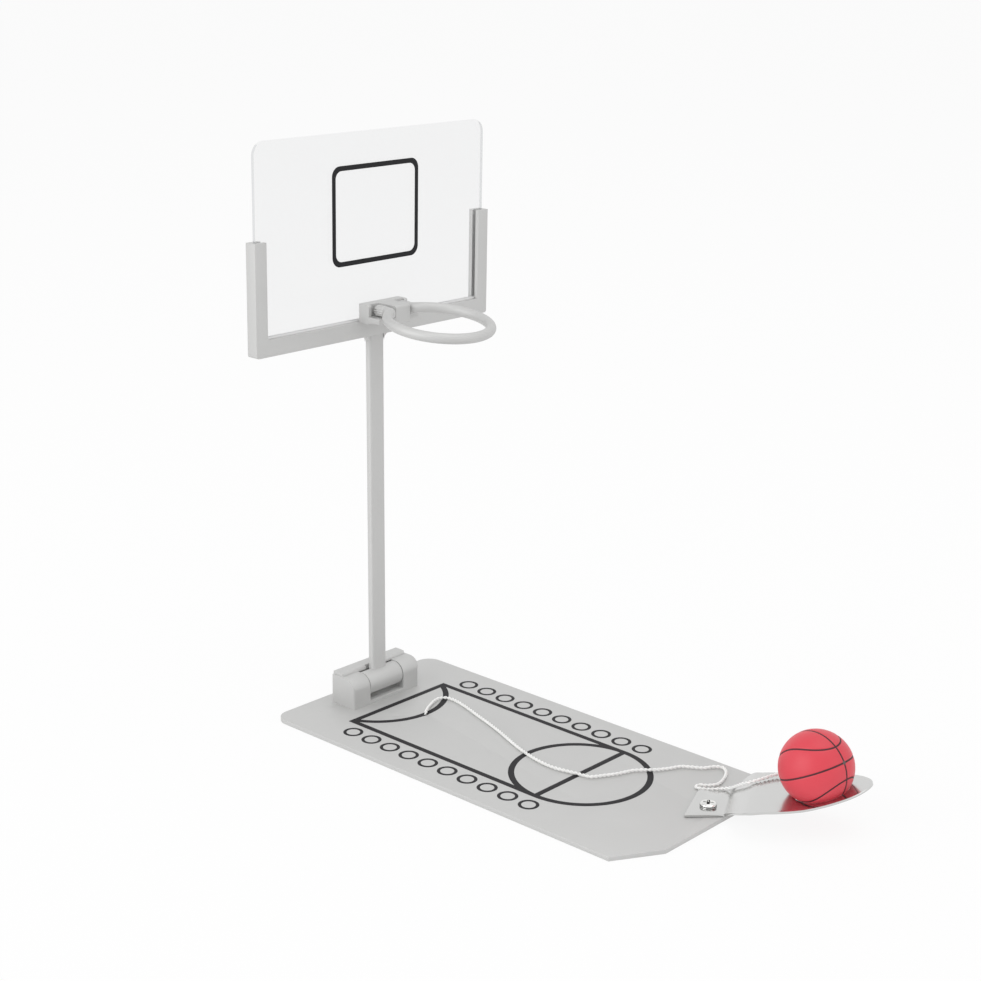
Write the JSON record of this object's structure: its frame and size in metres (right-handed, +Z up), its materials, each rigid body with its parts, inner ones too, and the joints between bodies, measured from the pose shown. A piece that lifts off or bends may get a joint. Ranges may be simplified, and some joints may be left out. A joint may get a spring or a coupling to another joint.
{
  "type": "tabletop basketball game",
  "caption": "Metal desktop hoop shooting game: flat court plate, folding pole with clear backboard and drooping hoop, sprung steel launcher leaf with a tethered ball.",
  "frame": {"origin": "centre of the plate's underside, where the game rests on a table", "axes": "+X along the plate from the hoop stand to the launcher, +Y across the plate, +Z up"},
  "size_m": [0.2145, 0.1182, 0.2197],
  "materials": {
    "satin_metal": "satin silver",
    "screw_steel": "plain steel",
    "polished_steel": "polished",
    "chromed_screw": "polished",
    "clear_acrylic": "clear, polished",
    "ball_rubber": "satin",
    "cotton": "twisted cotton"
  },
  "bodies": {
    "base": {"base_plate": "satin_metal", "hinge_block": "satin_metal", "block_screw_near": "screw_steel", "block_screw_far": "screw_steel", "hinge_pin": "screw_steel", "launcher_foot": "polished_steel", "launcher_screw": "chromed_screw", "string": "cotton", "plate_knot": "cotton"},
    "stand": {"pole": "satin_metal", "board_frame": "satin_metal", "backboard": "clear_acrylic", "hoop_bracket": "satin_metal", "hoop_pin": "screw_steel"},
    "hoop": {"hoop_ring": "satin_metal"},
    "launcher": {"launcher_blade": "polished_steel"},
    "ball": {"ball": "ball_rubber"}
  },
  "joints": [
    {"name": "pole_fold", "type": "hinge", "parent": "base", "child": "stand", "pos_m": [-0.073, 0, 0.0085], "axis": [0, 1, 0], "range_deg": [0, 70]},
    {"name": "hoop_fold", "type": "hinge", "parent": "stand", "child": "hoop", "pos_m": [-0.0665, 0, 0.1559], "axis": [0, -1, 0], "range_deg": [0, 90]},
    {"name": "launcher_flex", "type": "hinge", "parent": "base", "child": "launcher", "pos_m": [0.084, 0.01192, 0.0022], "axis": [-0.4695, 0.8829, 0], "range_deg": [0, 12], "stiffness_Nm_per_rad": 1.4},
    {"name": "ball_lift", "type": "slide", "parent": "launcher", "child": "ball", "axis": [0, 0, 1], "range_m": [0, 0.03], "deforming": ["string"]}
  ]
}
